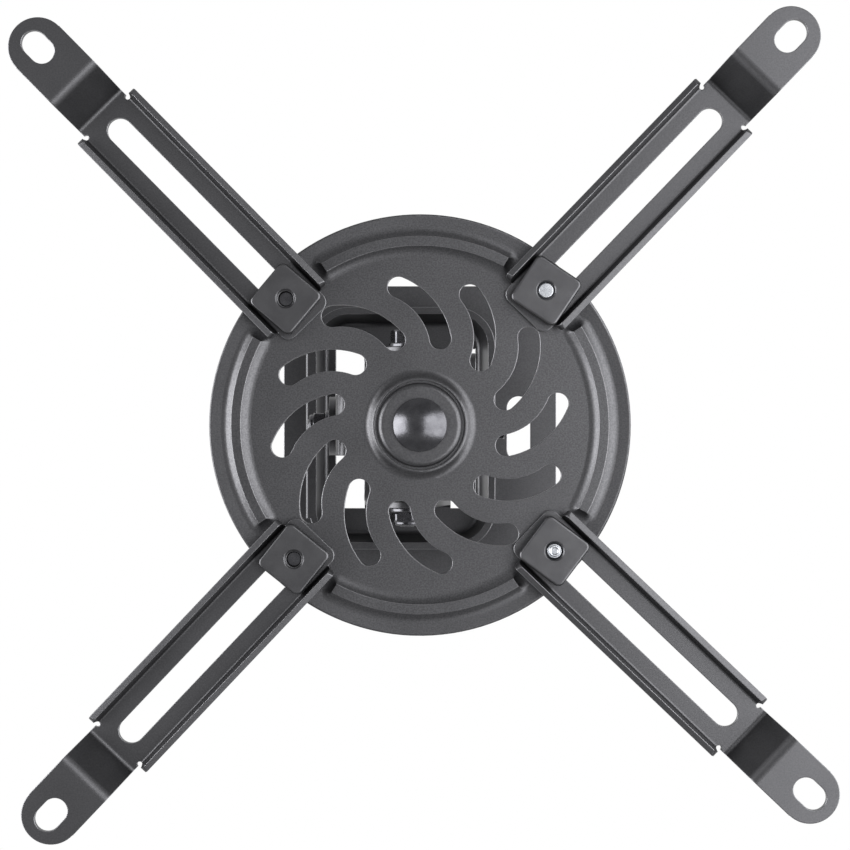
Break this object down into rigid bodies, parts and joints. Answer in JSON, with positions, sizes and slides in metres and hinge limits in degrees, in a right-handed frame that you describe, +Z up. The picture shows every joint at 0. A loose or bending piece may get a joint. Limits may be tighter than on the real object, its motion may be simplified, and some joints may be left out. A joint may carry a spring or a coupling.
{
  "type": "projector ceiling mount",
  "caption": "Projector ceiling mount with a roll and tilt joint, a swivelling round plate and slotted arms that swing and slide to reach the projector's screw bosses.",
  "frame": {"origin": "middle of the ceiling plate's screw pattern, on its upper face", "axes": "+Z up into the ceiling, +X right and +Y down as the mount is seen from straight below"},
  "size_m": [0.24, 0.2419, 0.1278],
  "materials": {
    "powder_coat": "satin",
    "black_zinc": "gloss",
    "zinc": "satin",
    "nylon": "matt"
  },
  "bodies": {
    "ceiling": {"ceiling_plate": "powder_coat", "hanger_tray": "powder_coat", "roll_bolt": "black_zinc", "roll_flat_washer": "black_zinc", "roll_nut": "black_zinc"},
    "yoke": {"cross_yoke": "powder_coat", "roll_friction_washers": "nylon", "tilt_bolt": "black_zinc", "tilt_flat_washer": "black_zinc", "tilt_nut": "black_zinc", "tilt_friction_washers": "nylon"},
    "head": {"lower_bracket": "powder_coat", "swivel_washer": "nylon"},
    "plate": {"projector_plate": "powder_coat", "cup_washer": "powder_coat", "centre_bolt": "black_zinc", "bracket_washer": "zinc", "centre_lock_nut": "zinc"},
    "clamp_top_left": {"clamp_screw_top_left": "zinc", "clamp_washer_top_left": "zinc", "clamp_nut_top_left": "black_zinc"},
    "arm_top_left": {"arm_top_left": "powder_coat"},
    "clamp_top_right": {"clamp_screw_top_right": "zinc", "clamp_washer_top_right": "zinc", "clamp_nut_top_right": "black_zinc"},
    "arm_top_right": {"arm_top_right": "powder_coat"},
    "clamp_bottom_right": {"clamp_screw_bottom_right": "zinc", "clamp_washer_bottom_right": "zinc", "clamp_nut_bottom_right": "black_zinc"},
    "arm_bottom_right": {"arm_bottom_right": "powder_coat"},
    "clamp_bottom_left": {"clamp_screw_bottom_left": "zinc", "clamp_washer_bottom_left": "zinc", "clamp_nut_bottom_left": "black_zinc"},
    "arm_bottom_left": {"arm_bottom_left": "powder_coat"}
  },
  "joints": [
    {"name": "roll", "type": "hinge", "parent": "ceiling", "child": "yoke", "pos_m": [-0.0043, 0, -0.034], "axis": [0, 1, 0], "range_deg": [-15, 15]},
    {"name": "tilt", "type": "hinge", "parent": "yoke", "child": "head", "pos_m": [0, 0, -0.084], "axis": [1, 0, 0], "range_deg": [-20, 20]},
    {"name": "swivel", "type": "hinge", "parent": "head", "child": "plate", "pos_m": [0, 0, -0.11], "axis": [0, 0, 1], "continuous": true},
    {"name": "swing_top_left", "type": "hinge", "parent": "plate", "child": "clamp_top_left", "pos_m": [-0.03944, -0.03703, -0.112], "axis": [0, 0, 1], "range_deg": [-20, 20]},
    {"name": "slide_top_left", "type": "slide", "parent": "clamp_top_left", "child": "arm_top_left", "axis": [0.7022, 0.712, 0], "range_m": [0, 0.025]},
    {"name": "swing_top_right", "type": "hinge", "parent": "plate", "child": "clamp_top_right", "pos_m": [0.03703, -0.03944, -0.112], "axis": [0, 0, 1], "range_deg": [-20, 20]},
    {"name": "slide_top_right", "type": "slide", "parent": "clamp_top_right", "child": "arm_top_right", "axis": [-0.694, 0.7199, 0], "range_m": [0, 0.025]},
    {"name": "swing_bottom_right", "type": "hinge", "parent": "plate", "child": "clamp_bottom_right", "pos_m": [0.03944, 0.03703, -0.112], "axis": [0, 0, 1], "range_deg": [-20, 20]},
    {"name": "slide_bottom_right", "type": "slide", "parent": "clamp_bottom_right", "child": "arm_bottom_right", "axis": [-0.7242, -0.6896, 0], "range_m": [0, 0.025]},
    {"name": "swing_bottom_left", "type": "hinge", "parent": "plate", "child": "clamp_bottom_left", "pos_m": [-0.03703, 0.03944, -0.112], "axis": [0, 0, 1], "range_deg": [-20, 20]},
    {"name": "slide_bottom_left", "type": "slide", "parent": "clamp_bottom_left", "child": "arm_bottom_left", "axis": [0.6884, -0.7254, 0], "range_m": [0, 0.025]}
  ]
}
